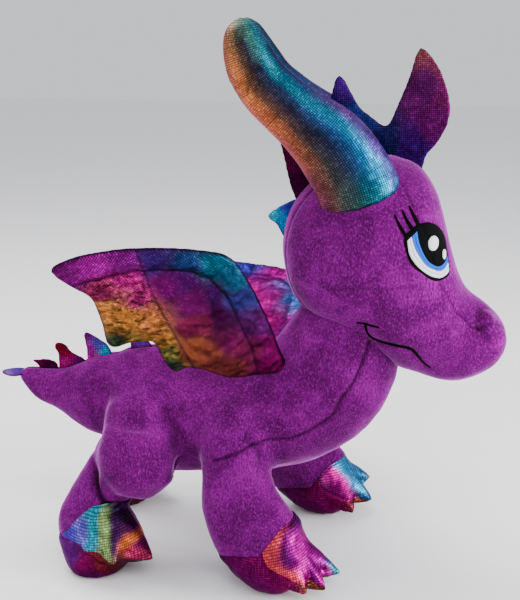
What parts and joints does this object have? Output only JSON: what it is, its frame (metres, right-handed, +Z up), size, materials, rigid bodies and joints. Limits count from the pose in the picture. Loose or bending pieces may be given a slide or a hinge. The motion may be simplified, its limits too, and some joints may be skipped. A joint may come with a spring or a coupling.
{
  "type": "plush dragon",
  "caption": "Standing plush dragon with stuffed head, legs and tail, padded foil wings and horns, and a foil crest; limbs, wings, head and tail flex at their seams.",
  "frame": {"origin": "on the ground under the centre of the bounding box", "axes": "+X is the way the dragon faces, +Y its left side, +Z up"},
  "size_m": [0.3681, 0.276, 0.383],
  "materials": {
    "plush": "short-pile plush",
    "foil": "iridescent foil-printed woven fabric",
    "fibre": "loose polyester fibre",
    "eye_thread": "satin embroidery",
    "black_thread": "satin embroidery"
  },
  "bodies": {
    "torso": {"right_body_panel": "plush", "left_body_panel": "plush", "belly_gusset": "plush", "body_stuffing": "fibre", "back_spine_1": "foil", "back_spine_2": "foil"},
    "head": {"head_right_panel": "plush", "head_left_panel": "plush", "head_top_gusset": "plush", "head_stuffing": "fibre", "right_horn_cover": "foil", "right_horn_stuffing": "fibre", "left_horn_cover": "foil", "left_horn_stuffing": "fibre", "head_crest": "foil", "nape_spike": "foil", "right_eye_embroidery": "eye_thread", "left_eye_embroidery": "eye_thread", "right_mouth_stitching": "black_thread", "left_mouth_stitching": "black_thread"},
    "tail": {"tail_cover": "plush", "tail_stuffing": "fibre", "tail_spine_1": "foil", "tail_spine_2": "foil", "tail_spine_3": "foil", "tail_fin": "foil"},
    "right_front_leg": {"right_front_leg_cover": "plush", "right_front_leg_stuffing": "fibre", "right_front_foot_top": "foil", "right_front_foot_sole": "foil"},
    "right_hind_leg": {"right_hind_leg_cover": "plush", "right_hind_leg_stuffing": "fibre", "right_hind_foot_top": "foil", "right_hind_foot_sole": "foil"},
    "left_front_leg": {"left_front_leg_cover": "plush", "left_front_leg_stuffing": "fibre", "left_front_foot_top": "foil", "left_front_foot_sole": "foil"},
    "left_hind_leg": {"left_hind_leg_cover": "plush", "left_hind_leg_stuffing": "fibre", "left_hind_foot_top": "foil", "left_hind_foot_sole": "foil"},
    "right_wing": {"right_wing_upper_panel": "foil", "right_wing_lower_panel": "foil", "right_wing_batting": "fibre"},
    "left_wing": {"left_wing_upper_panel": "foil", "left_wing_lower_panel": "foil", "left_wing_batting": "fibre"}
  },
  "joints": [
    {"name": "head_nod", "type": "hinge", "parent": "torso", "child": "head", "pos_m": [0.0759, -0.0241, 0.178], "axis": [-0.1564, 0.9877, 0], "range_deg": [-15, 15], "stiffness_Nm_per_rad": 3},
    {"name": "tail_wag", "type": "hinge", "parent": "torso", "child": "tail", "pos_m": [-0.0941, -0.0241, 0.112], "axis": [0, 0, 1], "range_deg": [-20, 20], "stiffness_Nm_per_rad": 0.6},
    {"name": "right_front_leg_swing", "type": "hinge", "parent": "torso", "child": "right_front_leg", "pos_m": [0.0049, -0.0746, 0.11], "axis": [0, 1, 0], "range_deg": [-15, 15], "stiffness_Nm_per_rad": 4},
    {"name": "right_hind_leg_swing", "type": "hinge", "parent": "torso", "child": "right_hind_leg", "pos_m": [-0.0641, -0.0746, 0.104], "axis": [0, 1, 0], "range_deg": [-15, 15], "stiffness_Nm_per_rad": 4},
    {"name": "left_front_leg_swing", "type": "hinge", "parent": "torso", "child": "left_front_leg", "pos_m": [0.0049, 0.0264, 0.11], "axis": [0, 1, 0], "range_deg": [-15, 15], "stiffness_Nm_per_rad": 4},
    {"name": "left_hind_leg_swing", "type": "hinge", "parent": "torso", "child": "left_hind_leg", "pos_m": [-0.0641, 0.0264, 0.104], "axis": [0, 1, 0], "range_deg": [-15, 15], "stiffness_Nm_per_rad": 4},
    {"name": "right_wing_flap", "type": "hinge", "parent": "torso", "child": "right_wing", "pos_m": [0.0299, -0.0511, 0.148], "axis": [-0.9397, -0.342, 0], "range_deg": [-56, 20], "stiffness_Nm_per_rad": 0.6},
    {"name": "left_wing_flap", "type": "hinge", "parent": "torso", "child": "left_wing", "pos_m": [0.0299, 0.0029, 0.148], "axis": [0.9397, -0.342, 0], "range_deg": [-8, 70], "stiffness_Nm_per_rad": 0.6}
  ]
}
